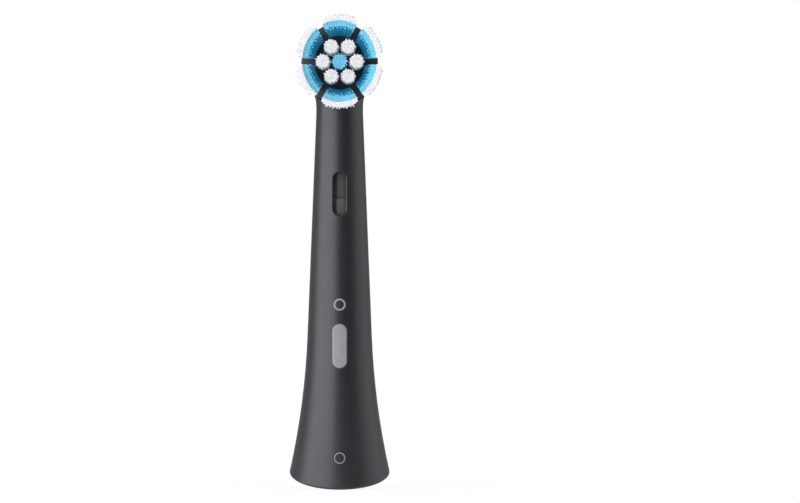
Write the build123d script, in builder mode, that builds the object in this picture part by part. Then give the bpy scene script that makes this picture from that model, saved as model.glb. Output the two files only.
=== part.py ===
"""Electric toothbrush head: tubular housing, sliding drive rod and swinging brush plate.

Millimetres. Z runs up the drive axis from the mouth of the handle socket, the bristles face -Y.
"""

from math import acos, cos, pi, radians, sin, sqrt
import os

from build123d import *

os.makedirs("parts", exist_ok=True)

# Housing: a slim neck that flares into a slanted mouth
head_height = 69.5
neck_radius = 4.22
neck_drop = 9.0
taper_radius = 5.8
taper_height = 20.5
mouth_radius = 9.03
mouth_drop = 4.0
mouth_slant = 16.6
mouth_spare = 5.0
mouth_round = 0.3
wall = 1.2

# Head cup behind the brush plate
cup_radius = 6.9
cup_back = 4.3
cup_round = 3.9
cup_blend = 5.0
plate_gap = 0.3
lip_clearance = 0.2

# Window slot in the front of the neck
window_height = 46.0
window_length = 7.65
window_width = 2.2
window_round = 0.22

# Coupling sleeve: socket for the handle's post and guide for the rod
socket_radius = 3.8
socket_depth = 14.0
sleeve_wall = 0.9
flange_thickness = 1.2
rib_width = 1.0
rib_height = 11.0
rib_count = 6
guide_step = 0.6
guide_length = 8.0
seat_fit = 0.03

# Motion: plate swing and the rod travel that goes with it
swing = 17.5
crank_offset = 3.0
rod_travel = crank_offset * radians(swing)
slide_fit = 0.05
running_fit = 0.04
press_fit = 0.01
end_gap = 0.1
pin_chamfer = 0.1

# Drive rod
rod_clearance = 0.7
rod_step = 0.6
rod_step_drop = 0.6
foot_rise = 0.25
foot_length = 9.0
shoulder_round = 0.3
flute_width = 2.4
flute_depth = 1.5
flute_margin = 2.0
arm_width = 1.5
arm_depth = 1.15
arm_clearance = 0.35
arm_lean = 0.2
arm_bend_drop = 5.5
arm_knee_drop = 2.0
crank_radius = 0.4
crank_seat = 0.9
crank_reach = 0.9

# Coupling magnet in the foot of the rod
magnet_radius = 2.3
magnet_thickness = 2.6
ring_thickness = 0.9
ring_bore = 1.8

# Brush plate
plate_half_width = 6.85
plate_half_height = 7.2
plate_face = 4.5
plate_thickness = 2.6
plate_round = 0.25
plate_web = 0.7
hub_radius = 1.9
hub_length = 2.8
hub_flange = 0.7
groove_width = 1.0
groove_fit = 0.1
slot_side_fit = 0.1
slot_end_play = 0.35

# Axle and retaining pin
axle_radius = 0.8
axle_depth = 0.8
boss_radius = 1.7
boss_gap = 0.3
retainer_radius = 0.4
retainer_overlap = 0.35
retainer_recess = 0.25

# Tufts
socket_tuft_depth = 1.2
tuft_fit = 0.01
row_fit = 0.02
centre_base_radius = 1.35
centre_tip_radius = 1.5
centre_height = 7.4
inner_ring_radius = 2.95
inner_tip_spread = 0.09
inner_base_radius = 1.25
inner_tip_radius = 1.4
inner_height = 7.7
inner_count = 6
outer_count = 6
plate_margin = 0.45
row_depth = 1.0
row_corner = 0.75
tip_corner = 1.0
base_gap = 1.2
tip_gap = 1.08
blue_height = 8.0
white_height = 8.7
splay_inner_side = 0.8
splay_inner_end = 1.05
splay_mid_side = 1.2
splay_mid_end = 1.45
splay_outer_side = 1.7
splay_outer_end = 1.85

# Levels along the drive axis and depths along Y, front negative
neck_height = head_height - neck_drop
mouth_height = -mouth_drop
plate_front_y = -plate_face
plate_back_y = plate_front_y + plate_thickness
cup_front_y = plate_back_y + plate_gap
hub_back_y = plate_back_y + hub_length
boss_front_y = hub_back_y + boss_gap
guide_radius = socket_radius - guide_step
foot_radius = guide_radius - slide_fit
foot_height = socket_depth + rod_travel + foot_rise
lip_radius = max(plate_half_width, plate_half_height) + lip_clearance
rod_upper_radius = neck_radius - wall - rod_clearance
rod_lower_radius = rod_upper_radius + rod_step
rod_step_height = window_height - rod_step_drop
groove_radius = hub_radius - retainer_overlap - groove_fit
retainer_height = head_height + hub_radius - retainer_overlap + retainer_radius
groove_front_y = hub_back_y - hub_flange - groove_width
retainer_y = groove_front_y + groove_width / 2
axle_back_y = cup_back - wall + axle_depth
axle_front_y = plate_front_y + socket_tuft_depth + plate_web
arm_front_y = retainer_y + retainer_radius + arm_clearance
arm_bend = head_height - arm_bend_drop
arm_knee = head_height - arm_knee_drop
crank_front_y = plate_back_y - crank_reach

drive_axis = Axis.Z
head_axis = Axis((0, 0, head_height), (0, 1, 0))
plate_plane = Plane(origin=(0, plate_front_y, head_height), x_dir=(1, 0, 0), z_dir=(0, -1, 0))
slant = radians(mouth_slant)
mouth_plane = Plane(
    origin=(0, 0, mouth_height), x_dir=(1, 0, 0), z_dir=(0, -sin(slant), cos(slant))
)


def front_plane(y):
    """Plane that faces the front at depth y, with its origin on the head axis."""
    return Plane(origin=(0, y, head_height), x_dir=(1, 0, 0), z_dir=(0, -1, 0))


def housing_form(inset, cup_front):
    """Solid of the housing's outside drawn in by inset, with the cup open at cup_front."""
    neck = neck_radius - inset
    cup = cup_radius - inset
    blend_x = neck + cup_blend
    blend_drop = sqrt((cup + cup_blend) ** 2 - blend_x**2)
    blend_turn = acos(blend_x / (cup + cup_blend))
    with BuildPart() as form:
        with BuildSketch(Plane.XZ):
            with BuildLine():
                taper = Line((neck, neck_height), (taper_radius - inset, taper_height))
                flare = TangentArc(taper @ 1, (mouth_radius - inset, mouth_height), tangent=taper % 1)
                skirt = Line(flare @ 1, flare @ 1 + (flare % 1) * mouth_spare)
                Polyline(skirt @ 1, (0, (skirt @ 1).Y), (0, neck_height), taper @ 0)
            make_face()
        revolve(axis=drive_axis)
        with BuildSketch(Plane.XY.offset(neck_height)):
            Ellipse(neck, neck)
        for turn in (0, blend_turn / 3, blend_turn * 2 / 3, blend_turn):
            level = head_height - blend_drop + cup_blend * sin(turn)
            with BuildSketch(Plane.XY.offset(level)):
                Ellipse(blend_x - cup_blend * cos(turn), neck)
        root_drop = cup * blend_drop / (cup + cup_blend) / 2
        with BuildSketch(Plane.XY.offset(head_height - root_drop)):
            Ellipse(sqrt(cup**2 - root_drop**2) - wall / 2, neck)
        loft()
        with BuildSketch(Plane.XY.offset(head_height)):
            with BuildLine():
                back_y = cup_back - inset
                back_round = cup_round - inset
                rim = Polyline((0, back_y), (0, cup_front), (cup, cup_front), (cup, back_y - back_round))
                crown = RadiusArc(rim @ 1, (cup - back_round, back_y), -back_round)
                Line(crown @ 1, rim @ 0)
            make_face()
        revolve(axis=head_axis)
    return form.part


def row_angle(row):
    """Direction of an outer tuft, midway between two gaps."""
    return 360 / outer_count * (row + 0.5)


def outer_row(inner_w, inner_h, outer_w, outer_h, gap, angle, corner=0):
    """One tuft row: an oval band between two gaps, centred on angle, with round outer corners."""
    half = pi / outer_count
    reach = 3 * outer_h
    tip = gap / 2 / sin(half)
    centre = radians(angle)
    fan = [(tip * cos(centre), tip * sin(centre))]
    for side in (-half, half):
        fan.append(
            (
                fan[0][0] + reach * cos(centre + side),
                fan[0][1] + reach * sin(centre + side),
            )
        )
    with BuildSketch(mode=Mode.PRIVATE) as band:
        Ellipse(outer_w, outer_h)
        Ellipse(inner_w, inner_h, mode=Mode.SUBTRACT)
        Polygon(*fan, align=None, mode=Mode.INTERSECT)
        if corner:
            ends = band.edges().filter_by(GeomType.LINE)
            fillet([end.vertices().sort_by(SortBy.DISTANCE)[-1] for end in ends], corner)
    return band.sketch


# Housing shell
window_mid = (window_height - taper_height) / (neck_height - taper_height)
window_radius = taper_radius + (neck_radius - taper_radius) * window_mid
with BuildPart() as housing_shell:
    add(housing_form(0, cup_front_y))
    add(housing_form(wall, plate_front_y), mode=Mode.SUBTRACT)
    split(bisect_by=mouth_plane, keep=Keep.TOP)
    mouth_face = housing_shell.faces().sort_by(drive_axis)[0]
    fillet(mouth_face.outer_wire().edges(), mouth_round)
    with BuildSketch(Plane.XZ):
        with Locations((0, window_height)):
            SlotOverall(window_length, window_width, rotation=90)
    extrude(amount=2 * mouth_radius, mode=Mode.SUBTRACT)
    window_edges = housing_shell.edges(Select.LAST)
    fillet(window_edges.filter_by(lambda edge: edge.center().Y < wall / 2 - window_radius), window_round)
    with BuildSketch(front_plane(cup_front_y)):
        Circle(lip_radius)
    extrude(amount=2 * plate_face, mode=Mode.SUBTRACT)
    with BuildSketch(front_plane(cup_back - wall / 2)):
        Circle(boss_radius)
    extrude(amount=cup_back - wall / 2 - boss_front_y)
    with BuildSketch(front_plane(axle_back_y)):
        Circle(axle_radius + press_fit)
    extrude(amount=2 * plate_face, mode=Mode.SUBTRACT)
    with BuildSketch(Plane.YZ):
        with Locations((retainer_y, retainer_height)):
            Circle(retainer_radius + press_fit)
    extrude(amount=2 * cup_radius, both=True, mode=Mode.SUBTRACT)
housing_shell.part.label = "housing_shell"
export_step(housing_shell.part, "parts/housing_shell.step")

# Coupling sleeve: ribs and flange are trimmed to the inside of the housing
with BuildPart() as coupling_sleeve:
    with BuildSketch():
        Circle(2 * mouth_radius)
    extrude(amount=flange_thickness)
    with BuildSketch():
        with PolarLocations(mouth_radius, rib_count):
            Rectangle(2 * mouth_radius, rib_width)
    extrude(amount=rib_height)
    add(housing_form(wall + seat_fit, plate_front_y), mode=Mode.INTERSECT)
    with BuildSketch():
        Circle(socket_radius + sleeve_wall)
    extrude(amount=socket_depth + sleeve_wall)
    with BuildSketch():
        Circle(guide_radius + sleeve_wall)
    extrude(amount=socket_depth + guide_length)
    with BuildSketch():
        Circle(socket_radius)
    extrude(amount=socket_depth, mode=Mode.SUBTRACT)
    with BuildSketch():
        Circle(guide_radius)
    extrude(amount=socket_depth + guide_length, mode=Mode.SUBTRACT)
coupling_sleeve.part.label = "coupling_sleeve"
export_step(coupling_sleeve.part, "parts/coupling_sleeve.step")

# Axle pin, pressed into the boss of the head cup
with BuildPart() as axle_pin:
    with BuildSketch(front_plane(axle_back_y - end_gap)):
        Circle(axle_radius)
    extrude(amount=axle_back_y - end_gap - axle_front_y)
    chamfer(axle_pin.edges().filter_by(GeomType.CIRCLE), pin_chamfer)
axle_pin.part.label = "axle_pin"
export_step(axle_pin.part, "parts/axle_pin.step")

# Retaining pin, across the head cup through the groove of the hub
retainer_rise = retainer_height - head_height
retainer_half = sqrt(cup_radius**2 - (retainer_rise + retainer_radius) ** 2) - retainer_recess
with BuildPart() as retaining_pin:
    with BuildSketch(Plane.YZ):
        with Locations((retainer_y, retainer_height)):
            Circle(retainer_radius)
    extrude(amount=retainer_half, both=True)
    chamfer(retaining_pin.edges().filter_by(GeomType.CIRCLE), pin_chamfer)
retaining_pin.part.label = "retaining_pin"
export_step(retaining_pin.part, "parts/retaining_pin.step")

# Drive rod: foot in the guide, round shaft with a shoulder, crank arm past the hub
rod_base = foot_height + ring_thickness
foot_top = rod_base + foot_length
rod_top = head_height - plate_half_height - rod_travel - arm_clearance
with BuildPart() as drive_rod:
    with BuildSketch(Plane.XZ):
        with BuildLine():
            Polyline(
                (0, rod_base),
                (foot_radius, rod_base),
                (foot_radius, foot_top),
                (rod_lower_radius, foot_top + foot_radius - rod_lower_radius),
                (rod_lower_radius, rod_step_height - shoulder_round),
                (rod_lower_radius - shoulder_round, rod_step_height),
                (rod_upper_radius, rod_step_height),
                (rod_upper_radius, rod_top),
                (0, rod_top),
                close=True,
            )
        make_face()
    revolve(axis=drive_axis)
    with BuildSketch(Plane.XY.offset(rod_base)):
        Circle(magnet_radius + press_fit)
    extrude(amount=magnet_thickness + end_gap, mode=Mode.SUBTRACT)
    flute_bottom = foot_top + flute_margin
    flute_top = rod_step_height - window_length / 2 - flute_margin
    with BuildSketch(Plane.XY.offset(flute_bottom)):
        with Locations((rod_lower_radius, 0), (-rod_lower_radius, 0)):
            Rectangle(2 * flute_depth, flute_width)
    extrude(amount=flute_top - flute_bottom, mode=Mode.SUBTRACT)
    with BuildSketch(front_plane(arm_front_y)):
        with BuildLine():
            Polyline(
                (0, rod_top - head_height - arm_width),
                (arm_lean, arm_bend - head_height),
                (crank_offset, arm_knee - head_height),
                (crank_offset, 0),
            )
        trace(line_width=arm_width)
    extrude(amount=-arm_depth)
    with BuildSketch(front_plane(arm_front_y)):
        with Locations((crank_offset, 0)):
            Circle(crank_radius + press_fit)
    extrude(amount=-crank_seat, mode=Mode.SUBTRACT)
drive_rod.part.label = "drive_rod"
export_step(drive_rod.part, "parts/drive_rod.step")

# Crank pin, pressed into the arm
with BuildPart() as crank_pin:
    with BuildSketch(front_plane(arm_front_y + crank_seat - end_gap)):
        with Locations((crank_offset, 0)):
            Circle(crank_radius)
    extrude(amount=arm_front_y + crank_seat - end_gap - crank_front_y)
    chamfer(crank_pin.edges().filter_by(GeomType.CIRCLE), pin_chamfer)
crank_pin.part.label = "crank_pin"
export_step(crank_pin.part, "parts/crank_pin.step")

# Coupling magnet in the rod's foot, and the ring that holds it
with BuildPart() as coupling_magnet:
    with BuildSketch(Plane.XY.offset(rod_base)):
        Circle(magnet_radius)
    extrude(amount=magnet_thickness)
    chamfer(coupling_magnet.edges().filter_by(GeomType.CIRCLE), pin_chamfer)
coupling_magnet.part.label = "coupling_magnet"
export_step(coupling_magnet.part, "parts/coupling_magnet.step")

with BuildPart() as magnet_ring:
    with BuildSketch(Plane.XY.offset(foot_height)):
        Circle(foot_radius - pin_chamfer)
        Circle(ring_bore, mode=Mode.SUBTRACT)
    extrude(amount=ring_thickness)
magnet_ring.part.label = "magnet_ring"
export_step(magnet_ring.part, "parts/magnet_ring.step")

# Brush plate: oval plate, hub with groove, drive slot and tuft sockets
base_outer_w = plate_half_width - plate_margin
base_outer_h = plate_half_height - plate_margin
base_mid_w = base_outer_w - row_depth
base_mid_h = base_outer_h - row_depth
base_inner_w = base_mid_w - row_depth
base_inner_h = base_mid_h - row_depth
with BuildPart() as brush_plate:
    with BuildSketch(plate_plane):
        Ellipse(plate_half_width, plate_half_height)
    extrude(amount=-plate_thickness)
    fillet(brush_plate.edges(), plate_round)
    with BuildSketch(Plane.XY.offset(head_height)):
        with BuildLine():
            Polyline(
                (0, plate_back_y - plate_round),
                (hub_radius, plate_back_y - plate_round),
                (hub_radius, groove_front_y),
                (groove_radius, groove_front_y),
                (groove_radius, groove_front_y + groove_width),
                (hub_radius, groove_front_y + groove_width),
                (hub_radius, hub_back_y),
                (0, hub_back_y),
                close=True,
            )
        make_face()
    revolve(axis=head_axis)
    with BuildSketch(front_plane(hub_back_y)):
        Circle(axle_radius + running_fit)
    extrude(amount=hub_back_y - axle_front_y + end_gap, mode=Mode.SUBTRACT)
    with BuildSketch(front_plane(plate_back_y)):
        with Locations((crank_offset, 0)):
            SlotOverall(
                2 * (crank_radius + slot_end_play), 2 * (crank_radius + slot_side_fit)
            )
    extrude(amount=crank_reach + end_gap, mode=Mode.SUBTRACT)
    with BuildSketch(plate_plane):
        Circle(centre_base_radius + tuft_fit)
        with PolarLocations(inner_ring_radius, inner_count):
            Circle(inner_base_radius + tuft_fit)
    extrude(amount=-socket_tuft_depth, mode=Mode.SUBTRACT)
    for row in range(outer_count):
        with BuildSketch(plate_plane):
            add(
                outer_row(
                    base_inner_w - tuft_fit,
                    base_inner_h - tuft_fit,
                    base_outer_w + tuft_fit,
                    base_outer_h + tuft_fit,
                    base_gap - 2 * tuft_fit,
                    row_angle(row),
                    row_corner + tuft_fit,
                )
            )
        extrude(amount=-socket_tuft_depth, mode=Mode.SUBTRACT)
brush_plate.part.label = "brush_plate"
export_step(brush_plate.part, "parts/brush_plate.step")

# Round tufts: one in the centre and a ring around it
with BuildPart() as centre_tuft:
    with BuildSketch(plate_plane):
        Circle(centre_base_radius)
    extrude(amount=-socket_tuft_depth)
    with BuildSketch(plate_plane):
        Circle(centre_base_radius)
    with BuildSketch(plate_plane.offset(centre_height)):
        Circle(centre_tip_radius)
    loft()
centre_tuft.part.label = "centre_tuft"
export_step(centre_tuft.part, "parts/centre_tuft.step")

for place in range(inner_count):
    turn = radians(360 / inner_count * place)
    tip_ring = inner_ring_radius + inner_tip_spread
    base = (inner_ring_radius * cos(turn), inner_ring_radius * sin(turn))
    tip = (tip_ring * cos(turn), tip_ring * sin(turn))
    with BuildPart() as inner_tuft:
        with BuildSketch(plate_plane):
            with Locations(base):
                Circle(inner_base_radius)
        extrude(amount=-socket_tuft_depth)
        with BuildSketch(plate_plane):
            with Locations(base):
                Circle(inner_base_radius)
        with BuildSketch(plate_plane.offset(inner_height)):
            with Locations(tip):
                Circle(inner_tip_radius)
        loft()
    inner_tuft.part.label = f"inner_tuft_{place + 1}"
    export_step(inner_tuft.part, f"parts/inner_tuft_{place + 1}.step")

# Outer tufts: a blue row inside a white one, splayed outwards
tip_inner_w = base_inner_w + splay_inner_side
tip_inner_h = base_inner_h + splay_inner_end
tip_mid_w = base_mid_w + splay_mid_side
tip_mid_h = base_mid_h + splay_mid_end
tip_outer_w = base_outer_w + splay_outer_side
tip_outer_h = base_outer_h + splay_outer_end
white_mid_w = base_mid_w + splay_mid_side * white_height / blue_height + row_fit
white_mid_h = base_mid_h + splay_mid_end * white_height / blue_height + row_fit
white_base_w = base_mid_w + row_fit
white_base_h = base_mid_h + row_fit
for row in range(outer_count):
    angle = row_angle(row)
    blue_base = outer_row(base_inner_w, base_inner_h, base_mid_w, base_mid_h, base_gap, angle)
    blue_tip = outer_row(tip_inner_w, tip_inner_h, tip_mid_w, tip_mid_h, tip_gap, angle)
    with BuildPart() as blue_tuft:
        with BuildSketch(plate_plane):
            add(blue_base)
        extrude(amount=-socket_tuft_depth)
        with BuildSketch(plate_plane):
            add(blue_base)
        with BuildSketch(plate_plane.offset(blue_height)):
            add(blue_tip)
        loft()
    blue_tuft.part.label = f"outer_blue_tuft_{row + 1}"
    export_step(blue_tuft.part, f"parts/outer_blue_tuft_{row + 1}.step")
    white_base = outer_row(
        white_base_w,
        white_base_h,
        base_outer_w,
        base_outer_h,
        base_gap,
        angle,
        row_corner,
    )
    white_tip = outer_row(
        white_mid_w,
        white_mid_h,
        tip_outer_w,
        tip_outer_h,
        tip_gap,
        angle,
        tip_corner,
    )
    with BuildPart() as white_tuft:
        with BuildSketch(plate_plane):
            add(white_base)
        extrude(amount=-socket_tuft_depth)
        with BuildSketch(plate_plane):
            add(white_base)
        with BuildSketch(plate_plane.offset(white_height)):
            add(white_tip)
        loft()
    white_tuft.part.label = f"outer_white_tuft_{row + 1}"
    export_step(white_tuft.part, f"parts/outer_white_tuft_{row + 1}.step")
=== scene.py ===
"""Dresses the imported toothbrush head: matt housing, drive train, brush plate, filament tufts and prints.

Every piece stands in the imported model's frame, in metres. Sizes in the classes are millimetres.
"""

from collections.abc import Iterator
from dataclasses import dataclass, field
from enum import Enum
from functools import cached_property
import logging
import math
import random

import bmesh
import bpy
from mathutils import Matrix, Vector
from mathutils.bvhtree import BVHTree


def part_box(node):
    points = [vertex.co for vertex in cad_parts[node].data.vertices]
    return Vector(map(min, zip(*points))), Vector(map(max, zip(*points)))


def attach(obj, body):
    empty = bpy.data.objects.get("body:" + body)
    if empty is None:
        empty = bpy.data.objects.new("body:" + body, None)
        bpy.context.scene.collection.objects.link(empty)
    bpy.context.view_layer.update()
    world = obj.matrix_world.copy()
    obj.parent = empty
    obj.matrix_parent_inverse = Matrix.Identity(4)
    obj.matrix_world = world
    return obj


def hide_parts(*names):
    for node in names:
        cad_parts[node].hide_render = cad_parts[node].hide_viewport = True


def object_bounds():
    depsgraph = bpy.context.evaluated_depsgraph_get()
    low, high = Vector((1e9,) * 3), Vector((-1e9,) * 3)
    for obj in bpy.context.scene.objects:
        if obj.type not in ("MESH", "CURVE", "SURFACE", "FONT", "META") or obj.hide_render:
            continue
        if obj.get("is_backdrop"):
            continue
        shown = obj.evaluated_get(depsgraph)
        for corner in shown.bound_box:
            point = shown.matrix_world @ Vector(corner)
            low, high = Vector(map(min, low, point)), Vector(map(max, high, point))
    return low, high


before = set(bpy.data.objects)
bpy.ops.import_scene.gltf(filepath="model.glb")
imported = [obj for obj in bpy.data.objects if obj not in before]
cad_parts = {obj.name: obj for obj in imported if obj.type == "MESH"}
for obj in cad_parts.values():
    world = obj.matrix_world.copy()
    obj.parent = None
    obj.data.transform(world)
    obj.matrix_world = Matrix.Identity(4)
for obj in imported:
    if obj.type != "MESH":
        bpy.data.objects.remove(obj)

CAD_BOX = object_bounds()
MM = 0.001
STRAND_MAP = "strand"
BAKE_MAP = "OFBake"
TOOTH_RUN = (0.0, 0.5, 1.0, 0.25, 0.75)
HEX_ROW = 0.866
WHITE = (1.0, 1.0, 1.0, 1.0)
log = logging.getLogger("toothbrush_head")

Material = bpy.types.Material
Node = bpy.types.Node
Socket = bpy.types.NodeSocket
Tree = bpy.types.NodeTree
Colour = tuple[float, float, float]
Flat = tuple[float, float]
Span = tuple[float, float, float, float]


class Body(Enum):
    """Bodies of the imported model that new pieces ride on."""

    HOUSING = "housing"
    BRUSH = "brush_head"


class Slot(Enum):
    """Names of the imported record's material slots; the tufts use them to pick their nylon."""

    SHELL = "shell_plastic"
    BLUE = "blue_bristle"
    WHITE = "white_bristle"


class Edge(Enum):
    """The edge of a tuft row whose tips stand loose."""

    INNER = 0
    OUTER = 1


class MarkShape(Enum):
    """Outlines that a printed mark can have."""

    RING = "ring"
    PILL = "pill"


class Bench:
    """Adds and joins nodes in one node tree."""

    def __init__(self, tree: Tree) -> None:
        """Keeps the tree to work on."""
        self.tree = tree

    def feed(self, node: Node, feeds: dict) -> None:
        """Fills inputs of a node.

        Args:
            node: node to fill.
            feeds: input name or number to a value, or to an output socket to link.
        """
        for key, value in feeds.items():
            if isinstance(value, Socket):
                self.tree.links.new(value, node.inputs[key])
            else:
                node.inputs[key].default_value = value

    def add(self, kind: str, feeds: dict | None = None, **settings: object) -> Node:
        """Adds a node, sets its properties and fills its inputs.

        Args:
            kind: Blender's name of the node type.
            feeds: inputs to fill, as feed takes them.
            settings: properties to set on the node itself.

        Returns:
            The new node.
        """
        node = self.tree.nodes.new(kind)
        for key, value in settings.items():
            setattr(node, key, value)
        self.feed(node, feeds or {})
        return node

    def group(self, tree: Tree, feeds: dict) -> Node:
        """Adds a node group with its inputs filled."""
        return self.add("ShaderNodeGroup", feeds, node_tree=tree)

    def place(self, kind: str = "Object") -> Socket:
        """Returns a texture coordinate, the object's own unless another is named."""
        return self.add("ShaderNodeTexCoord").outputs[kind]

    def mix(self, factor: object, first: object, second: object, blend: str = "MIX") -> Socket:
        """Returns a mix of two colours; the factor gives the second one's share."""
        feeds = {0: factor, 6: first, 7: second}
        return self.add("ShaderNodeMix", feeds, data_type="RGBA", blend_type=blend).outputs[2]

    def remap(self, value: object, low: float, high: float, to_low: float, to_high: float) -> Socket:
        """Returns a value mapped from low and high to to_low and to_high, held at the ends."""
        feeds = {"Value": value, "From Min": low, "From Max": high, "To Min": to_low, "To Max": to_high}
        return self.add("ShaderNodeMapRange", feeds).outputs["Result"]

    def maths(self, operation: str, first: object, second: object = 0.0) -> Socket:
        """Returns the result of one sum on two values."""
        return self.add("ShaderNodeMath", {0: first, 1: second}, operation=operation).outputs[0]

    def noise(self, place: object, scale: object, detail: float, rough: float = 0.5) -> Socket:
        """Returns fractal noise at a place, of a given scale, number of layers and roughness."""
        feeds = {"Vector": place, "Scale": scale, "Detail": detail, "Roughness": rough}
        return self.add("ShaderNodeTexNoise", feeds).outputs["Fac"]

    def bump(self, strength: float, depth_mm: float, height: object, normal: object = None) -> Socket:
        """Turns a height into a bumped normal.

        Args:
            strength: how strongly the bumps show.
            depth_mm: depth of the bumps.
            height: socket with the height.
            normal: socket with the normal to start from, or None for the surface's own.

        Returns:
            The bumped normal's output socket.
        """
        feeds = {"Strength": strength, "Distance": depth_mm * MM, "Height": height}
        if normal is not None:
            feeds["Normal"] = normal
        return self.add("ShaderNodeBump", feeds).outputs["Normal"]


def rgba(colour: Colour) -> tuple[float, float, float, float]:
    """Returns the colour with full alpha."""
    return (*colour, 1.0)


@dataclass
class EffectShelf:
    """Shader node groups that several finishes share, each built once.

    A span holds a range of values and the range that it becomes.
    """

    cloud_scale: float = 0.06
    cloud_span: Span = (0.3, 0.7, 0.0, 0.75)
    speck_span: Span = (0.35, 0.65, 0.0, 0.25)
    edge_samples: int = 6
    edge_span: Span = (0.995, 0.8, 0.0, 1.0)
    line_span: Span = (0.35, 0.65, 0.0, 1.0)
    level_span: Span = (0.0, 1.0, -0.012, 0.012)
    root_shade_span: Span = (0.05, 0.95, 0.0, 1.0)
    tip_span: Span = (0.0, 0.03, 0.0, 1.0)
    strand_span: Span = (0.0, 1.0, 0.86, 1.0)
    clump_span: Span = (0.35, 0.6, 0.9, 1.0)

    @staticmethod
    def open_group(name: str, inputs: dict[str, str], outputs: dict[str, str]) -> tuple[Bench, dict, Node]:
        """Starts a node group with named sockets.

        Args:
            name: the group's name.
            inputs: input name to socket type, such as Float.
            outputs: output name to socket type.

        Returns:
            The bench, the group's inputs by name and its output node.
        """
        tree = bpy.data.node_groups.new(name, "ShaderNodeTree")
        for side, sockets in (("INPUT", inputs), ("OUTPUT", outputs)):
            for label, kind in sockets.items():
                tree.interface.new_socket(label, in_out=side, socket_type=f"NodeSocket{kind}")
        bench = Bench(tree)
        source = bench.add("NodeGroupInput").outputs
        return bench, {label: source[label] for label in inputs}, bench.add("NodeGroupOutput")

    @cached_property
    def moulded_grain(self) -> Tree:
        """Makes the fine spark-eroded grain of moulded plastic, with a slow change of tone.

        Returns:
            The node group.
        """
        bench, given, result = self.open_group(
            "moulded_grain", {"Place": "Vector", "Scale": "Float"}, {"Height": "Float", "Tone": "Float"}
        )
        fine = bench.noise(given["Place"], given["Scale"], detail=3.0, rough=0.6)
        wide = bench.maths("MULTIPLY", given["Scale"], self.cloud_scale)
        slow = bench.noise(given["Place"], wide, detail=4.0, rough=0.55)
        cloud = bench.remap(slow, *self.cloud_span)
        speck = bench.remap(fine, *self.speck_span)
        bench.feed(result, {"Height": fine, "Tone": bench.maths("ADD", cloud, speck)})
        return bench.tree

    @cached_property
    def edge_round_and_highlight(self) -> Tree:
        """Makes the softened edges of moulded and turned pieces: a rounded normal, and a mask along the edges
        where moulded plastic paints a highlight.

        Returns:
            The node group.
        """
        bench, given, result = self.open_group(
            "edge_round_and_highlight", {"Radius": "Float"}, {"Normal": "Vector", "Mask": "Float"}
        )
        bevel = bench.add("ShaderNodeBevel", {"Radius": given["Radius"]}, samples=self.edge_samples)
        rounded = bevel.outputs["Normal"]
        true = bench.add("ShaderNodeNewGeometry").outputs["Normal"]
        facing = bench.add("ShaderNodeVectorMath", {0: rounded, 1: true}, operation="DOT_PRODUCT")
        mask = bench.remap(facing.outputs["Value"], *self.edge_span)
        bench.feed(result, {"Normal": rounded, "Mask": mask})
        return bench.tree

    @cached_property
    def drawn_lines(self) -> Tree:
        """Makes the fine lines that drawing and grinding leave on metal.

        Returns:
            The node group.
        """
        bench, given, result = self.open_group(
            "drawn_lines",
            {"Place": "Vector", "Scale": "Float", "Stretch": "Vector"},
            {"Height": "Float", "Tone": "Float"},
        )
        feeds = {0: given["Place"], 1: given["Stretch"]}
        along = bench.add("ShaderNodeVectorMath", feeds, operation="MULTIPLY").outputs["Vector"]
        lines = bench.noise(along, given["Scale"], detail=2.0, rough=0.7)
        bench.feed(result, {"Height": lines, "Tone": bench.remap(lines, *self.line_span)})
        return bench.tree

    @cached_property
    def strand_shade(self) -> Tree:
        """Makes the colour of nylon strands: a random tone for each, with painted shade that deepens towards
        the root and a painted highlight at the tip.

        Returns:
            The node group.
        """
        bench, given, result = self.open_group(
            "strand_shade",
            {
                "Strand": "Vector", "Place": "Vector", "Clump Scale": "Float",
                "Root": "Color", "Shaft": "Color", "Tip": "Color", "Tip Start": "Float",
            },
            {"Colour": "Color", "Tip Mask": "Float"},
        )
        split = bench.add("ShaderNodeSeparateXYZ", {0: given["Strand"]}).outputs
        number = bench.maths("FLOOR", split["X"])
        draw = bench.add("ShaderNodeTexWhiteNoise", {"W": number}, noise_dimensions="1D")
        chance = draw.outputs["Value"]
        level = bench.maths("ADD", split["Y"], bench.remap(chance, *self.level_span))
        # painted shade: the root colour darkens the strands towards the plate, down between the tufts
        shaded_shaft = bench.mix(bench.remap(level, *self.root_shade_span), given["Root"], given["Shaft"])
        past = bench.maths("SUBTRACT", level, given["Tip Start"])
        lit_tip_mask = bench.remap(past, *self.tip_span)
        clump = bench.noise(given["Place"], given["Clump Scale"], detail=1.0)
        tone = bench.remap(chance, *self.strand_span)
        tone = bench.maths("MULTIPLY", tone, bench.remap(clump, *self.clump_span))
        shade = bench.add("ShaderNodeCombineColor", {0: tone, 1: tone, 2: tone}).outputs[0]
        # painted highlight: the tip colour is paler than the shaded shaft, as if lit
        body = bench.mix(lit_tip_mask, shaded_shaft, given["Tip"])
        bench.feed(result, {"Colour": bench.mix(1.0, body, shade, "MULTIPLY"), "Tip Mask": lit_tip_mask})
        return bench.tree


SHELF = EffectShelf()


def open_material(name: str) -> tuple[Material, Bench, Node]:
    """Starts a node material with its shader joined to the output.

    Args:
        name: the material's name.

    Returns:
        The material, a bench on its tree and its Principled shader.
    """
    material = bpy.data.materials.new(name)
    material.use_nodes = True
    material.node_tree.nodes.clear()
    bench = Bench(material.node_tree)
    shader = bench.add("ShaderNodeBsdfPrincipled")
    bench.add("ShaderNodeOutputMaterial", {"Surface": shader.outputs["BSDF"]})
    return material, bench, shader


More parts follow.
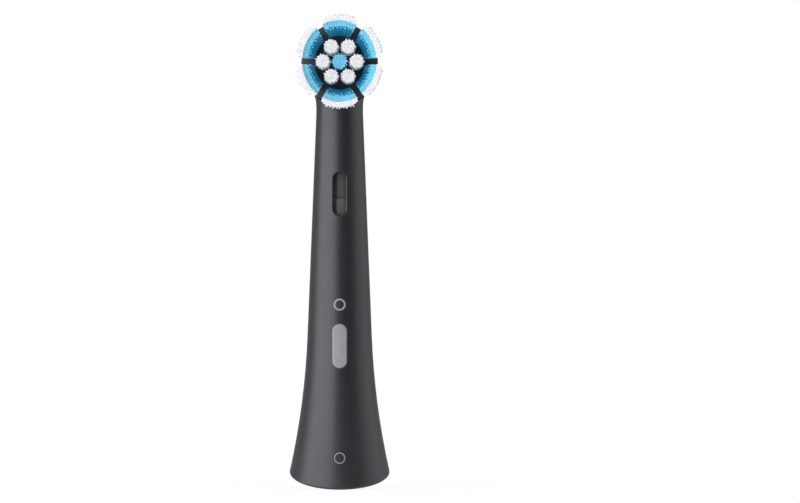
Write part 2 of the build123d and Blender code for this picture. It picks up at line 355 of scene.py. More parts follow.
@dataclass(frozen=True)
class MouldedPlastic:
    """Moulded plastic with a fine grain and a painted highlight along its edges."""

    name: str
    low: Colour
    high: Colour
    # painted highlight: the paler colour laid along the edges
    edge: Colour
    smooth: float
    rough: float
    grain_mm: float = 0.3
    depth_mm: float = 0.004
    edge_mm: float = 0.1
    specular: float = 0.5
    sheen: Colour = (1.0, 1.0, 1.0)
    relief: float = 0.5

    def make(self) -> Material:
        """Builds the material.

        Returns:
            The finished material.
        """
        material, bench, shader = open_material(self.name)
        feeds = {"Place": bench.place(), "Scale": 1.0 / (self.grain_mm * MM)}
        grain = bench.group(SHELF.moulded_grain, feeds).outputs
        edge = bench.group(SHELF.edge_round_and_highlight, {"Radius": self.edge_mm * MM}).outputs
        colour = bench.mix(grain["Tone"], rgba(self.low), rgba(self.high))
        bench.feed(shader, {
            # painted highlight: the edge mask blends in the paler edge colour
            "Base Color": bench.mix(edge["Mask"], colour, rgba(self.edge)),
            "Roughness": bench.remap(grain["Tone"], 0.0, 1.0, self.smooth, self.rough),
            "Normal": bench.bump(self.relief, self.depth_mm, grain["Height"], edge["Normal"]),
            "Specular IOR Level": self.specular,
            "Specular Tint": rgba(self.sheen),
        })
        return material


@dataclass(frozen=True)
class GroundMetal:
    """Ground or plated metal with fine lines along one direction."""

    name: str
    low: Colour
    high: Colour
    smooth: float
    rough: float
    line_mm: float = 0.05
    depth_mm: float = 0.002
    stretch: tuple[float, float, float] = (1.0, 1.0, 1.0)
    edge_mm: float = 0.06
    relief: float = 0.4

    def make(self) -> Material:
        """Builds the material.

        Returns:
            The finished material.
        """
        material, bench, shader = open_material(self.name)
        feeds = {"Place": bench.place(), "Scale": 1.0 / (self.line_mm * MM), "Stretch": self.stretch}
        lines = bench.group(SHELF.drawn_lines, feeds).outputs
        edge = bench.group(SHELF.edge_round_and_highlight, {"Radius": self.edge_mm * MM}).outputs
        bench.feed(shader, {
            "Base Color": bench.mix(lines["Tone"], rgba(self.low), rgba(self.high)),
            "Roughness": bench.remap(lines["Tone"], 0.0, 1.0, self.smooth, self.rough),
            "Normal": bench.bump(self.relief, self.depth_mm, lines["Height"], edge["Normal"]),
            "Metallic": 1.0,
        })
        return material


@dataclass(frozen=True)
class Nylon:
    """Nylon bristle with painted light: painted shade towards the root and along the sides, a painted
    highlight at the tip and a painted glow.
    """

    name: str
    # The root and shaft colours are painted shade at the tuft's foot and sides; the paler tip colour is a
    # painted highlight.
    root: Colour
    shaded_shaft: Colour
    tip: Colour
    tip_start: float
    # painted glow: emission of the bristle's own colour, so the bristle gives off light though it is no lamp
    painted_glow: float = 0.15
    clump_mm: float = 0.42
    smooth: float = 0.32
    rough: float = 0.5

    def make(self) -> Material:
        """Builds the material.

        Returns:
            The finished material.
        """
        material, bench, shader = open_material(self.name)
        feeds = {
            "Strand": bench.add("ShaderNodeUVMap", uv_map=STRAND_MAP).outputs["UV"],
            "Place": bench.place(),
            "Clump Scale": 1.0 / (self.clump_mm * MM),
            "Root": rgba(self.root),
            "Shaft": rgba(self.shaded_shaft),
            "Tip": rgba(self.tip),
            "Tip Start": self.tip_start,
        }
        shade = bench.group(SHELF.strand_shade, feeds).outputs
        bench.feed(shader, {
            "Base Color": shade["Colour"],
            # the emission is a painted glow that brightens the shaded walls and the tips
            "Emission Color": shade["Colour"],
            "Emission Strength": self.painted_glow,
            "Roughness": bench.remap(shade["Tip Mask"], 0.0, 1.0, self.smooth, self.rough),
        })
        return material


@dataclass(frozen=True)
class PrintInk:
    """Pad-printed ink with a faint speckle."""

    name: str
    low: Colour
    high: Colour
    smooth: float = 0.5
    rough: float = 0.62
    speckle_mm: float = 0.09
    depth_mm: float = 0.004
    specular: float = 0.2
    relief: float = 0.3

    def make(self) -> Material:
        """Builds the material.

        Returns:
            The finished material.
        """
        material, bench, shader = open_material(self.name)
        feeds = {"Place": bench.place(), "Scale": 1.0 / (self.speckle_mm * MM)}
        grain = bench.group(SHELF.moulded_grain, feeds).outputs
        bench.feed(shader, {
            "Base Color": bench.mix(grain["Tone"], rgba(self.low), rgba(self.high)),
            "Roughness": bench.remap(grain["Tone"], 0.0, 1.0, self.smooth, self.rough),
            "Normal": bench.bump(self.relief, self.depth_mm, grain["Height"]),
            "Specular IOR Level": self.specular,
        })
        return material


def dress_node(node: str, material: Material) -> None:
    """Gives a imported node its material.

    Args:
        node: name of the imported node.
        material: finish to show on it.
    """
    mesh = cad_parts[node].data
    mesh.materials.clear()
    mesh.materials.append(material)
    log.info("dressed %s with %s", node, material.name)


def add_piece(name: str, mesh: bpy.types.Mesh, material: Material, body: Body) -> bpy.types.Object:
    """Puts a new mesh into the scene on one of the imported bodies.

    Args:
        name: the piece's name.
        mesh: its mesh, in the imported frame.
        material: its finish.
        body: body that it moves with.

    Returns:
        The new object.
    """
    mesh.materials.append(material)
    piece = bpy.data.objects.new(name, mesh)
    bpy.context.scene.collection.objects.link(piece)
    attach(piece, body.value)
    log.info("built %s with %d faces on %s", name, len(mesh.polygons), body.value)
    return piece


@dataclass
class PrintedMark:
    """One printed mark that follows the curve of the housing."""

    name: str
    shape: MarkShape
    height: float
    radius: float
    stroke: float = 0.0
    spine: float = 0.0
    lift: float = 0.012
    sink: float = 0.05
    weld: float = 0.001
    stand_off: float = 10.0
    points: int = 72
    loops: int = 5

    def outline(self, share: float) -> Iterator[Flat]:
        """Walks round the mark's outline.

        Args:
            share: how far out the line runs, from the inner edge or spine at 0 to the outer edge at 1.

        Yields:
            Points across and up from the mark's centre.
        """
        inner = self.radius - self.stroke if self.shape is MarkShape.RING else 0.0
        reach = inner + (self.radius - inner) * share
        for step in range(self.points):
            turn = 2 * math.pi * (step + 0.5) / self.points
            end = math.copysign(self.spine, math.sin(turn))
            yield reach * math.cos(turn), end + reach * math.sin(turn)

    def build(self, skin: BVHTree, ink: Material) -> None:
        """Lays the mark on the housing.

        Args:
            skin: search tree of the housing's faces.
            ink: the mark's finish.
        """
        mesh = bmesh.new()
        levels = [(loop / self.loops, self.lift) for loop in range(self.loops + 1)]
        levels.append((1.0, -self.sink))
        if self.shape is MarkShape.RING:
            levels.insert(0, (0.0, -self.sink))
        rows = [
            [self.laid(mesh, skin, spot, lift) for spot in self.outline(share)] for share, lift in levels
        ]
        for inner, outer in zip(rows, rows[1:]):
            for step in range(self.points):
                after = (step + 1) % self.points
                mesh.faces.new((inner[step], outer[step], outer[after], inner[after]))
        bmesh.ops.remove_doubles(mesh, verts=mesh.verts, dist=self.weld * MM)
        bmesh.ops.recalc_face_normals(mesh, faces=mesh.faces)
        for face in mesh.faces:
            face.smooth = True
        data = bpy.data.meshes.new(self.name)
        mesh.to_mesh(data)
        mesh.free()
        piece = add_piece(self.name, data, ink, Body.HOUSING)

    def laid(self, mesh: bmesh.types.BMesh, skin: BVHTree, spot: Flat, lift: float) -> bmesh.types.BMVert:
        """Puts one point of the mark on the housing's skin.

        Args:
            mesh: mesh under construction.
            skin: search tree of the housing's faces.
            spot: place across and up from the mark's centre.
            lift: height over the skin.

        Returns:
            The new vertex.
        """
        front = CAD_BOX[0][1] - self.stand_off * MM
        start = Vector((spot[0] * MM, front, (self.height + spot[1]) * MM))
        hit, normal, _, _ = skin.ray_cast(start, Vector((0.0, 1.0, 0.0)))
        return mesh.verts.new(hit + normal * lift * MM)


@dataclass
class Housing:
    """The fixed sub-assembly: shell, sleeve, pins and the marks printed on the shell."""

    # Each plastic's edge colour is a painted highlight along its edges.
    shell: MouldedPlastic = MouldedPlastic(
        "matt_graphite_plastic",
        low=(0.0031, 0.0033, 0.0039), high=(0.0049, 0.005, 0.0057), edge=(0.0143, 0.0147, 0.0164),
        smooth=0.39, rough=0.45, grain_mm=0.16, depth_mm=0.005, edge_mm=0.12,
        specular=0.785, sheen=(0.893, 0.912, 1.0),
    )
    sleeve: MouldedPlastic = MouldedPlastic(
        "dark_sleeve_plastic",
        low=(0.045, 0.045, 0.05), high=(0.062, 0.062, 0.068), edge=(0.1, 0.1, 0.105),
        smooth=0.36, rough=0.5,
    )
    steel: GroundMetal = GroundMetal(
        "ground_pin_steel", low=(0.5, 0.5, 0.51), high=(0.66, 0.66, 0.67),
        smooth=0.22, rough=0.38,
    )
    ink: PrintInk = PrintInk("pale_grey_print", low=(0.243, 0.247, 0.257), high=(0.293, 0.297, 0.309))
    marks: tuple[PrintedMark, ...] = (
        PrintedMark("upper_ring_print", MarkShape.RING, height=26.2, radius=1.09, stroke=0.33),
        PrintedMark("bare_label_print", MarkShape.PILL, height=18.8, radius=1.305, spine=2.65),
        PrintedMark("lower_ring_print", MarkShape.RING, height=-1.15, radius=1.0, stroke=0.18),
    )

    def build(self) -> None:
        """Dresses the fixed nodes and lays the printed marks."""
        dress_node("housing_shell", self.shell.make())
        dress_node("coupling_sleeve", self.sleeve.make())
        steel = self.steel.make()
        for node in ("axle_pin", "retaining_pin"):
            dress_node(node, steel)
        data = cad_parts["housing_shell"].data
        skin = BVHTree.FromPolygons(
            [vertex.co for vertex in data.vertices], [tuple(face.vertices) for face in data.polygons]
        )
        ink = self.ink.make()
        for mark in self.marks:
            mark.build(skin, ink)


@dataclass
class DriveTrain:
    """The sliding sub-assembly: rod, crank pin, magnet and its ring."""

    # Each plastic's edge colour is a painted highlight along its edges.
    rod: MouldedPlastic = MouldedPlastic(
        "grey_rod_plastic",
        low=(0.15, 0.153, 0.16), high=(0.183, 0.186, 0.194), edge=(0.257, 0.257, 0.27),
        smooth=0.34, rough=0.46, grain_mm=0.35,
    )
    steel: GroundMetal = GroundMetal(
        "drawn_crank_steel", low=(0.48, 0.48, 0.49), high=(0.64, 0.64, 0.65),
        smooth=0.2, rough=0.36, stretch=(1.0, 0.1, 1.0),
    )
    plating: GroundMetal = GroundMetal(
        "nickel_plate", low=(0.6, 0.58, 0.54), high=(0.7, 0.68, 0.64),
        smooth=0.14, rough=0.28, line_mm=0.08, depth_mm=0.0015, stretch=(1.0, 1.0, 0.2),
    )
    ring: MouldedPlastic = MouldedPlastic(
        "magnet_ring_plastic",
        low=(0.05, 0.05, 0.055), high=(0.07, 0.07, 0.075), edge=(0.11, 0.11, 0.115),
        smooth=0.38, rough=0.5, edge_mm=0.08,
    )

    def build(self) -> None:
        """Dresses the sliding nodes."""
        dress_node("drive_rod", self.rod.make())
        dress_node("crank_pin", self.steel.make())
        dress_node("coupling_magnet", self.plating.make())
        dress_node("magnet_ring", self.ring.make())


@dataclass(frozen=True)
class Strand:
    """Sizes and scatter of one nylon filament and of the dense core behind a bundle of them.

    The shaft's sizes are pairs of level and share of the radius; drops are shares of the radius.
    """

    radius: float = 0.115
    pitch: float = 0.235
    sides: int = 6
    rooted: float = 0.5
    knee: float = 0.35
    root_size: float = 0.8
    shaft_sizes: tuple[Flat, ...] = ((0.0, 0.88), (0.45, 0.92), (0.8, 0.96))
    shoulder_drop: float = 0.6
    end_drop: float = 0.12
    end_size: float = 0.92
    stray: float = 0.04
    tuck: Flat = (0.5, 1.0)
    length_scatter: float = 0.12
    bow: float = 0.03
    core_margin: float = 0.36
    core_drop: float = 0.5
    # painted shade: the core's level puts the darker shaft colour in the gaps between the filament tips
    core_level: float = 0.8
    core_rise: float = 0.02


@dataclass(frozen=True)
class Spot:
    """Where one filament stands in its socket, over the plate and at its tip, and how the tip is tucked."""

    base: Flat
    knee: Flat
    tip: Flat
    tuck: Flat = (0.0, 0.0)


@dataclass(frozen=True)
class CorePoint:
    """One point of a bundle's dense core: at the plate, at its shoulder and on the middle of its top."""

    base: Flat
    shoulder: Flat
    middle: Flat


@dataclass(frozen=True)
class PlateFrame:
    """Where the brush plate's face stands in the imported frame, in metres."""

    face: float
    centre: float

    def place(self, spot: Vector) -> Vector:
        """Returns a plate point, millimetres across, up and out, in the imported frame."""
        return Vector((spot.x * MM, self.face - spot.z * MM, self.centre + spot.y * MM))


@dataclass
class StrandMesh:
    """Collects filaments into one mesh, with a map of strand number and height and one spread for baking."""

    strand: Strand
    columns: int
    corners: list[Vector] = field(default_factory=list)
    faces: list[tuple[int, ...]] = field(default_factory=list)
    tally: list[Flat] = field(default_factory=list)
    chart: list[Flat] = field(default_factory=list)
    count: int = 0

    def mark(self, corner: Vector, column: float, level: float) -> None:
        """Adds one corner with its places on the two maps.

        Args:
            corner: the corner's place over the plate.
            column: its place across the strand's column of the baking map.
            level: its share of the strand's height.
        """
        self.corners.append(corner)
        self.tally.append((self.count + 0.5, level))
        self.chart.append(((self.count + column) / self.columns, level))

    def add(self, root: Vector, knee: Vector, tip: Vector, bow: Vector) -> None:
        """Adds one filament with a rounded tip.

        Args:
            root: its lower end.
            knee: where it leaves the plate.
            tip: its upper end.
            bow: sideways offset midway between knee and tip.
        """
        strand, sides = self.strand, self.strand.sides
        length = (tip - knee).length
        shoulder = 1 - strand.shoulder_drop * strand.radius / length
        end = 1 - strand.end_drop * strand.radius / length
        rings = [(root, strand.root_size)]
        for level, size in (*strand.shaft_sizes, (shoulder, 1.0), (end, strand.end_size)):
            rings.append((knee.lerp(tip, level) + bow * (4 * level * (1 - level)), size))
        first = len(self.corners)
        for middle, size in rings:
            level = (middle.z - root.z) / (tip.z - root.z)
            for side in range(sides):
                turn = 2 * math.pi * side / sides
                out = Vector((math.cos(turn), math.sin(turn), 0.0)) * strand.radius * size
                self.mark(middle + out, (side + 0.5) / sides, level)
        self.mark(tip, 0.5, 1.0)
        for ring in range(len(rings) - 1):
            low, high = first + ring * sides, first + (ring + 1) * sides
            for side in range(sides):
                after = (side + 1) % sides
                self.faces.append((low + side, low + after, high + after, high + side))
        last = first + (len(rings) - 1) * sides
        for side in range(sides):
            self.faces.append((last + side, last + (side + 1) % sides, len(self.corners) - 1))
        self.count += 1

    def add_core(self, outline: list[CorePoint], height: float, span: int) -> None:
        """Adds the dense core that shows between the filaments.

        Args:
            outline: closed outline of the core, its first point repeated at the end.
            height: how far the core stands out from the plate.
            span: number of map columns that it takes.
        """
        # The core's level gives it the darker shaft colour, painted shade between the filaments.
        first, points, top = len(self.corners), len(outline), self.strand.core_level
        rings = (
            (-self.strand.rooted, 0.0, [point.base for point in outline]),
            (height, top, [point.shoulder for point in outline]),
            (height, top + self.strand.core_rise, [point.middle for point in outline]),
        )
        for along, level, places in rings:
            for step, flat in enumerate(places):
                self.mark(Vector((*flat, along)), span * step / (points - 1), level)
        for ring in range(len(rings) - 1):
            for step in range(points - 1):
                low, high = first + ring * points + step, first + (ring + 1) * points + step
                self.faces.append((low, low + 1, high + 1, high))
        self.count += span

    def finish(self, name: str, to_frame: PlateFrame) -> bpy.types.Mesh:
        """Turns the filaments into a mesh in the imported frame.

        Args:
            name: the mesh's name.
            to_frame: where the plate stands.

        Returns:
            The mesh, smooth but for the filaments' ends, with its strand maps.
        """
        mesh = bpy.data.meshes.new(name)
        mesh.from_pydata([to_frame.place(corner) for corner in self.corners], [], self.faces)
        mesh.update()
        mesh.polygons.foreach_set("use_smooth", [len(face) > 3 for face in self.faces])
        for label, places in ((STRAND_MAP, self.tally), (BAKE_MAP, self.chart)):
            layer = mesh.uv_layers.new(name=label)
            for loop in mesh.loops:
                layer.data[loop.index].uv = places[loop.vertex_index]
        return mesh


@dataclass
class Tuft:
    """A bundle of filaments that stands for one packed tuft."""

    node: str
    slot: Slot
    height: float
    strand: Strand
    tooth: float

    def spots(self) -> list[Spot]:
        """Returns each filament's spot."""
        raise NotImplementedError

    def core(self) -> list[CorePoint]:
        """Returns the closed outline of the bundle's core."""
        raise NotImplementedError

    @staticmethod
    def lean(chance: random.Random, most: float) -> Vector:
        """Returns a random sideways lean of at most the given size."""
        turn = chance.uniform(0, 2 * math.pi)
        return Vector((math.cos(turn), math.sin(turn))) * most * math.sqrt(chance.random())

    def build(self, to_frame: PlateFrame, nylon: Material) -> None:
        """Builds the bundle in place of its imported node.

        Args:
            to_frame: where the plate stands.
            nylon: the tuft's finish.
        """
        chance = random.Random(self.node)
        strand = self.strand
        spots = self.spots()
        outline = self.core()
        bundle = StrandMesh(strand, len(spots) + len(outline))
        for spot in spots:
            lean = Vector(spot.tuck) * self.tooth * chance.uniform(*strand.tuck)
            tip = Vector(spot.tip) + (lean + self.lean(chance, strand.stray))
            height = self.height - strand.length_scatter * chance.random()
            bow = self.lean(chance, strand.bow).to_3d()
            root, knee = Vector((*spot.base, -strand.rooted)), Vector((*spot.knee, strand.knee))
            bundle.add(root, knee, Vector((*tip, height)), bow)
        bundle.add_core(outline, self.height - strand.core_drop, len(outline))
        piece = add_piece(f"{self.node}_filaments", bundle.finish(self.node, to_frame), nylon, Body.BRUSH)
        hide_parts(self.node)


@dataclass
class RoundTuft(Tuft):
    """A round tuft that widens a little towards its tips."""

    base: Flat
    tip: Flat
    base_radius: float
    belly_radius: float
    tip_radius: float
    rim_room: float = 0.7
    core_steps: int = 24

    def spots(self) -> list[Spot]:
        """Finds each filament's spot: a rim whose tips stand in and out by turns, round a hexagonal packing.

        Returns:
            The spots.
        """
        pitch, margin = self.strand.pitch, self.strand.radius
        sizes = (self.base_radius, self.belly_radius, self.tip_radius)
        room, belly, reach = (size - margin for size in sizes)
        posts = 2 * round(math.pi * reach / pitch)
        found = []
        for post in range(posts):
            turn = 2 * math.pi * post / posts
            way = (math.cos(turn), math.sin(turn))
            tuck = self.around((0.0, 0.0), way, -TOOTH_RUN[post % len(TOOTH_RUN)])
            found.append(self.spot(way, room, belly, reach, tuck))
        core = reach - self.rim_room * pitch
        rows = math.ceil(core / (pitch * HEX_ROW))
        columns = math.ceil(core / pitch) + 1
        for row in range(-rows, rows + 1):
            for column in range(-columns, columns + 1):
                way = ((column + 0.5 * (row % 2)) * pitch, row * pitch * HEX_ROW)
                if math.hypot(*way) < core:
                    found.append(self.spot(way, room / reach, belly / reach, 1.0))
        return found

    def spot(self, way: Flat, room: float, belly: float, reach: float, tuck: Flat = (0.0, 0.0)) -> Spot:
        """Returns the spot of a filament that stands that far along way from the tuft's axis."""
        base, knee = self.around(self.base, way, room), self.around(self.base, way, belly)
        return Spot(base, knee, self.around(self.tip, way, reach), tuck)

    @staticmethod
    def around(centre: Flat, way: Flat, far: float) -> Flat:
        """Returns the place that lies far along way from centre."""
        return centre[0] + way[0] * far, centre[1] + way[1] * far

    def core(self) -> list[CorePoint]:
        """Draws the bundle's core, a circle.

        Returns:
            Its closed outline.
        """
        margin = self.strand.core_margin
        low, high = self.base_radius - margin, self.tip_radius - margin
        found = []
        for step in range(self.core_steps + 1):
            turn = 2 * math.pi * step / self.core_steps
            way = (math.cos(turn), math.sin(turn))
            shoulder = self.around(self.tip, way, high)
            found.append(CorePoint(self.around(self.base, way, low), shoulder, self.tip))
        return found


@dataclass(frozen=True)
class OvalBand:
    """A stretch of an oval ring between two straight gaps."""

    inner_w: float
    inner_h: float
    outer_w: float
    outer_h: float
    gap: float
    half_turn: float

    def point(self, centre: float, across: float, along: float, inset: float) -> Flat:
        """Finds a place in the band.

        Args:
            centre: direction of the band's middle.
            across: 0 at the inner edge and 1 at the outer one.
            along: -1 at one gap and 1 at the other.
            inset: margin kept at every edge.

        Returns:
            The place across and up from the plate's centre.
        """
        width = self.inner_w + inset + (self.outer_w - self.inner_w - 2 * inset) * across
        height = self.inner_h + inset + (self.outer_h - self.inner_h - 2 * inset) * across
        reach = self.radius(width, height, centre + math.copysign(self.half_turn, along))
        limit = self.half_turn - math.asin((self.gap / 2 + inset) / reach)
        turn = centre + along * limit
        reach = self.radius(width, height, turn)
        return reach * math.cos(turn), reach * math.sin(turn)

    @staticmethod
    def radius(width: float, height: float, turn: float) -> float:
        """Returns the oval's radius in one direction."""
        return 1 / math.hypot(math.cos(turn) / width, math.sin(turn) / height)


@dataclass
class RowTuft(Tuft):
    """A curved row of filaments along the plate's rim that splays outwards."""

    centre: float
    base: OvalBand
    tip: OvalBand
    ragged: Edge
    corner: float = 0.0
    tooth_room: float = 0.6
    core_steps: int = 18
    core_top: Flat = (0.5, 0.9)

    def cut_off(self, to_rim: float, to_end: float) -> bool:
        """Tells whether a place, by its distances, lies outside the row's round outer corner."""
        short_rim, short_end = self.corner - to_rim, self.corner - to_end
        return short_rim > 0 and short_end > 0 and math.hypot(short_rim, short_end) > self.corner

    def spots(self) -> list[Spot]:
        """Finds each filament's spot, in staggered lines, those on the ragged edge in and out by turns.

        Returns:
            The spots.
        """
        inset = self.strand.radius
        depth = self.tip.outer_w - self.tip.inner_w - 2 * inset
        lines = round(depth / self.strand.pitch) + 2
        inwards = -1 if self.ragged is Edge.OUTER else 1
        found = []
        for line in range(lines):
            across = line / (lines - 1)
            radius = self.tip.inner_w + inset + depth * across
            length = 2 * radius * self.tip.half_turn - self.tip.gap - 2 * inset
            posts = 2 * round(length / self.strand.pitch / 2)
            for post in range(posts + 1 - line % 2):
                along = -1 + 2 * (post + 0.5 * (line % 2)) / posts
                if self.cut_off(depth * (1 - across), length / 2 * (1 - abs(along))):
                    continue
                base = self.base.point(self.centre, across, along, inset)
                tip = self.tip.point(self.centre, self.gathered(across), along, inset)
                share = TOOTH_RUN[post % len(TOOTH_RUN)] if across == self.ragged.value else 0.0
                found.append(Spot(base, base, tip, tuple(Vector(tip).normalized() * inwards * share)))
        return found

    def gathered(self, across: float) -> float:
        """Moves the lines behind the ragged one away from it at their tips.

        Args:
            across: a line's place in the row, 0 at the inner edge and 1 at the outer one.

        Returns:
            The line's place at the tips.
        """
        if across == self.ragged.value:
            return across
        room = self.tooth_room * self.tooth / (self.tip.outer_w - self.tip.inner_w)
        return across * (1 - room) if self.ragged is Edge.OUTER else room + across * (1 - room)

    def core(self) -> list[CorePoint]:
        """Draws the bundle's core, out along the rim and back along the inside.

        Returns:
            Its closed outline.
        """
        margin = self.strand.core_margin
        depth = self.tip.outer_w - self.tip.inner_w - 2 * margin
        half = self.tip.outer_w * self.tip.half_turn - self.tip.gap / 2 - margin
        places = []
        for step in range(self.core_steps + 1):
            along = -1 + 2 * step / self.core_steps
            short = max(0.0, self.corner - half * (1 - abs(along)))
            retreat = self.corner - math.sqrt(self.corner**2 - short**2)
            places.append((max(0.0, 1 - retreat / depth), along))
        places += [(0.0, -along) for _, along in places]
        places.append(places[0])
        ridge, share = self.core_top
        return [
            CorePoint(
                self.base.point(self.centre, across, along, margin),
                self.tip.point(self.centre, across, along, margin),
                self.tip.point(self.centre, ridge, share * along, margin),
            )
            for across, along in places
        ]


@dataclass
class BrushPlate:
    """The swinging sub-assembly: oval plate, round tufts and two rows of outer tufts."""

    # The plate's edge colour is a painted highlight along its edges.
    plastic: MouldedPlastic = MouldedPlastic(
        "black_plate_plastic",
        low=(0.037, 0.037, 0.041), high=(0.047, 0.047, 0.052), edge=(0.056, 0.056, 0.061),
        smooth=0.42, rough=0.54, edge_mm=0.12, specular=0.3,
    )
    # The nylon colours hold painted light: the darker root and shaft colours are painted shade, the pale tip
    # a painted highlight.
    blue: Nylon = Nylon(
        "blue_nylon",
        root=(0.016, 0.36, 0.6), shaded_shaft=(0.02, 0.42, 0.7), tip=(0.22, 0.725, 0.96), tip_start=0.95,
    )
    white: Nylon = Nylon(
        "white_nylon",
        root=(0.66, 0.66, 0.67), shaded_shaft=(0.74, 0.74, 0.755), tip=(0.93, 0.935, 0.96), tip_start=0.93,
    )
    strand: Strand = Strand()
    inner_count: int = 6
    outer_count: int = 6
    centre_base: float = 1.35
    centre_tip: float = 1.5
    inner_ring: float = 2.95
    inner_spread: float = 0.09
    inner_base: float = 1.25
    inner_tip: float = 1.4
    round_belly: float = 1.42
    round_tooth: float = 0.56
    plate_margin: float = 0.45
    row_depth: float = 1.0
    row_lap: float = 0.05
    row_corner: float = 1.0
    row_tooth: float = 0.62
    base_gap: float = 1.2
    tip_gap: float = 1.08
    splay_inner: Flat = (0.8, 1.05)
    splay_mid: Flat = (1.2, 1.45)
    splay_outer: Flat = (1.7, 1.85)

    def reach(self, node: str) -> float:
        """Returns how far a packed tuft stands out from the plate's face, in millimetres."""
        return (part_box("brush_plate")[0][1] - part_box(node)[0][1]) / MM

    def band(self, inner: Flat, outer: Flat, gap: float) -> OvalBand:
        """Returns one stretch of the outer rows between two ovals."""
        return OvalBand(*inner, *outer, gap, math.pi / self.outer_count)

    @staticmethod
    def grown(oval: Flat, by: Flat, share: float = 1.0) -> Flat:
        """Returns an oval's half width and half height, grown by a share of the given sizes."""
        return oval[0] + by[0] * share, oval[1] + by[1] * share

    def round_tufts(self) -> Iterator[RoundTuft]:
        """Lays out the round tufts.

        Yields:
            The centre tuft and the ring of tufts around it.
        """
        plan = [("centre_tuft", Slot.BLUE, (0.0, 0.0), self.centre_base, self.centre_tip)]
        for place in range(self.inner_count):
            turn = 2 * math.pi * place / self.inner_count
            way = (math.cos(turn), math.sin(turn))
            plan.append((f"inner_tuft_{place + 1}", Slot.WHITE, way, self.inner_base, self.inner_tip))
        middle, spread = (0.0, 0.0), self.inner_ring + self.inner_spread
        for node, slot, way, foot, head in plan:
            yield RoundTuft(
                node, slot, self.reach(node), self.strand, self.round_tooth,
                RoundTuft.around(middle, way, self.inner_ring), RoundTuft.around(middle, way, spread),
                foot, self.round_belly, head,
            )

    def outer_tufts(self) -> Iterator[RowTuft]:
        """Lays out the outer tufts.

        Yields:
            The blue and the white row of each outer tuft.
        """
        low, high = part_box("brush_plate")
        rim = tuple((high[axis] - low[axis]) / MM / 2 - self.plate_margin for axis in (0, 2))
        step, lap = (-self.row_depth, -self.row_depth), (-self.row_lap, -self.row_lap)
        middle = self.grown(rim, step)
        inner, seam = self.grown(middle, step), self.grown(middle, lap)
        tip_inner = self.grown(inner, self.splay_inner)
        tip_middle = self.grown(middle, self.splay_mid)
        tip_rim = self.grown(rim, self.splay_outer)
        for row in range(self.outer_count):
            centre = 2 * math.pi * (row + 0.5) / self.outer_count
            blue, white = f"outer_blue_tuft_{row + 1}", f"outer_white_tuft_{row + 1}"
            tip_seam = self.grown(seam, self.splay_mid, self.reach(white) / self.reach(blue))
            for node, slot, foot, head, edge, corner in (
                (blue, Slot.BLUE, (inner, middle), (tip_inner, tip_middle), Edge.INNER, 0.0),
                (white, Slot.WHITE, (seam, rim), (tip_seam, tip_rim), Edge.OUTER, self.row_corner),
            ):
                yield RowTuft(
                    node, slot, self.reach(node), self.strand, self.row_tooth, centre,
                    self.band(*foot, self.base_gap), self.band(*head, self.tip_gap), edge, corner,
                )

    def build(self) -> None:
        """Dresses the plate and builds every tuft."""
        dress_node("brush_plate", self.plastic.make())
        low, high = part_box("brush_plate")
        to_frame = PlateFrame(low[1], (low[2] + high[2]) / 2)
        nylon = {Slot.BLUE: self.blue.make(), Slot.WHITE: self.white.make()}
        for tuft in (*self.round_tufts(), *self.outer_tufts()):
            tuft.build(to_frame, nylon[tuft.slot])


@dataclass(frozen=True)
class SoftBox:
    """One soft rectangular studio lamp that points at the object, in metres and watts."""

    name: str
    azimuth: float
    elevation: float
    distance: float
    width: float
    height: float
    power: float

    def place(self, target: Vector) -> None:
        """Sets up the lamp.

        Args:
            target: point that it faces.
        """
        lamp = bpy.data.lights.new(self.name, "AREA")
        lamp.shape = "RECTANGLE"
        lamp.size = self.width
        lamp.size_y = self.height
        lamp.energy = self.power
        stand = bpy.data.objects.new(self.name, lamp)
        turn, rise = math.radians(self.azimuth), math.radians(self.elevation)
        flat = math.cos(rise)
        way = Vector((math.sin(turn) * flat, -math.cos(turn) * flat, math.sin(rise)))
        stand.location = target + way * self.distance
        stand.rotation_euler = way.to_track_quat("Z", "Y").to_euler()
        bpy.context.scene.collection.objects.link(stand)


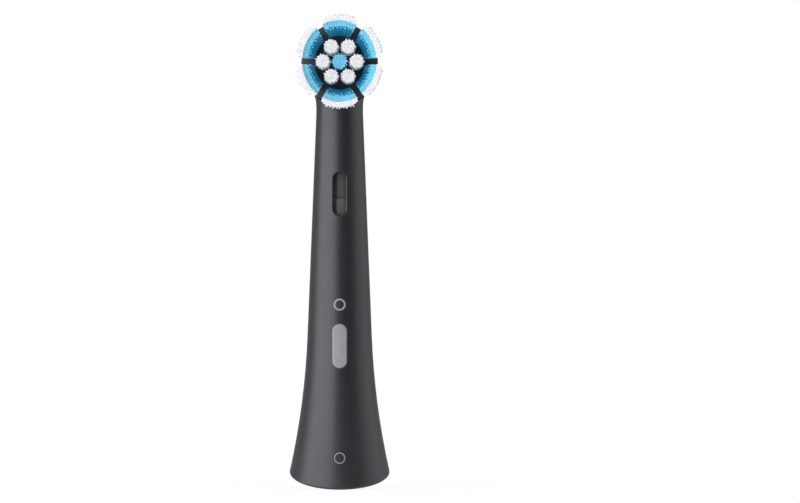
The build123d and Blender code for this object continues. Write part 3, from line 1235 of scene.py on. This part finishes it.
@dataclass
class Studio:
    """Pale floor, white surround, soft lamps and the camera.

    The floor's radius, its shadow's reach and the camera's clipping are metres.
    """

    photo_width: int = 800
    axis_column: float = 339.65
    pixel: float = 0.18
    view_height: float = 35.7
    distance: float = 900.0
    sensor: float = 36.0
    clip: Flat = (0.01, 20.0)
    floor_radius: float = 0.07
    floor_clear: float = 0.02
    floor_segments: int = 96
    floor_grey: float = 0.9
    shadow_reach: float = 0.02
    shadow_white: float = 0.93
    dim_span: Span = (0.0, 0.5, 0.224, 0.42)
    board_span: Span = (0.5, 0.75, 0.0, 0.91)
    backdrop_span: Span = (0.95, 0.995, 0.0, 1.0)
    boxes: tuple[SoftBox, ...] = (
        SoftBox("left_soft_box", -55.0, 4.0, distance=0.42, width=0.74, height=0.43, power=2.77),
        SoftBox("right_soft_box", 90.0, 4.0, distance=0.42, width=0.48, height=0.43, power=0.504),
    )

    def camera(self) -> None:
        """Places the camera in front of the drive axis, with the lens shifted to the photograph's framing."""
        lens = bpy.data.cameras.new("studio_camera")
        lens.sensor_fit = "HORIZONTAL"
        lens.sensor_width = self.sensor
        lens.lens = self.sensor * self.distance / (self.photo_width * self.pixel)
        lens.shift_x = 0.5 - self.axis_column / self.photo_width
        lens.clip_start, lens.clip_end = self.clip
        stand = bpy.data.objects.new("studio_camera", lens)
        stand.location = (0.0, -self.distance * MM, self.view_height * MM)
        stand.rotation_euler = (math.radians(90), 0.0, 0.0)
        bpy.context.scene.collection.objects.link(stand)
        bpy.context.scene.camera = stand

    def floor(self) -> None:
        """Lays the round white table just under the object."""
        mesh = bmesh.new()
        bmesh.ops.create_circle(
            mesh, cap_ends=True, cap_tris=True, segments=self.floor_segments, radius=self.floor_radius
        )
        data = bpy.data.meshes.new("studio_floor")
        mesh.to_mesh(data)
        mesh.free()
        data.materials.append(self.floor_paint())
        sheet = bpy.data.objects.new("studio_floor", data)
        sheet.location.z = CAD_BOX[0][2] - self.floor_clear * MM
        bpy.context.scene.collection.objects.link(sheet)
        sheet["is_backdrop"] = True

    @staticmethod
    def white_rays(bench: Bench, glossy: object) -> Socket:
        """Marks the rays that meet plain white: those of the camera, through glass and some reflections.

        Args:
            bench: bench on the tree to work in.
            glossy: share of the reflections that counts.

        Returns:
            The mark's output socket.
        """
        path = bench.add("ShaderNodeLightPath").outputs
        seen = bench.maths("MAXIMUM", path["Is Camera Ray"], path["Is Transmission Ray"])
        return bench.maths("MAXIMUM", seen, bench.maths("MULTIPLY", path["Is Glossy Ray"], glossy))

    def floor_paint(self) -> Material:
        """Makes the floor's paint, which keeps a faint shadow near the object and is white further out.

        Returns:
            The floor's material.
        """
        material = bpy.data.materials.new("white_floor_paint")
        material.use_nodes = True
        material.node_tree.nodes.clear()
        bench = Bench(material.node_tree)
        far = bench.add("ShaderNodeVectorMath", {0: bench.place()}, operation="LENGTH").outputs["Value"]
        open_floor = bench.remap(far, self.shadow_reach, self.floor_radius, self.shadow_white, 1.0)
        share = bench.maths("MULTIPLY", open_floor, self.white_rays(bench, 1.0))
        matt = bench.add("ShaderNodeBsdfDiffuse", {"Color": rgba((self.floor_grey,) * 3)}).outputs[0]
        white = bench.add("ShaderNodeEmission", {"Color": WHITE, "Strength": 1.0}).outputs[0]
        blend = bench.add("ShaderNodeMixShader", {0: share, 1: matt, 2: white}).outputs[0]
        bench.add("ShaderNodeOutputMaterial", {"Surface": blend})
        return material

    def surround(self) -> None:
        """Makes the surround: white to the camera, with bright boards above and below a dim studio."""
        world = bpy.data.worlds.new("studio_surround")
        world.use_nodes = True
        world.node_tree.nodes.clear()
        bench = Bench(world.node_tree)
        way = bench.add("ShaderNodeSeparateXYZ", {0: bench.place("Generated")}).outputs
        dim = bench.remap(way["Y"], *self.dim_span)
        boards = bench.remap(bench.maths("ABSOLUTE", way["Z"]), *self.board_span)
        level = bench.maths("ADD", dim, boards)
        seen = self.white_rays(bench, bench.remap(way["Y"], *self.backdrop_span))
        lit = bench.add("ShaderNodeBackground", {"Color": WHITE, "Strength": level}).outputs[0]
        white = bench.add("ShaderNodeBackground", {"Color": WHITE, "Strength": 1.0}).outputs[0]
        blend = bench.add("ShaderNodeMixShader", {0: seen, 1: lit, 2: white}).outputs[0]
        bench.add("ShaderNodeOutputWorld", {"Surface": blend})
        bpy.context.scene.world = world

    def build(self) -> None:
        """Sets up floor, surround, lamps and camera."""
        self.floor()
        self.surround()
        target = Vector((0.0, 0.0, self.view_height * MM))
        for box in self.boxes:
            box.place(target)
        self.camera()
        bpy.context.scene.view_settings.view_transform = "Standard"
        log.info("studio ready with %d soft boxes", len(self.boxes))


def note_sizes() -> None:
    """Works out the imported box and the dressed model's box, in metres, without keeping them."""
    boxes = {"cad": CAD_BOX, "visual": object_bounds()}
    {name: [[float(value) for value in corner] for corner in box] for name, box in boxes.items()}


def main() -> None:
    """Builds every sub-assembly and the studio, then works out the sizes."""
    logging.basicConfig(level=logging.INFO, format="%(message)s")
    for assembly in (Housing(), DriveTrain(), BrushPlate(), Studio()):
        assembly.build()
    note_sizes()


if __name__ == "__main__":
    main()
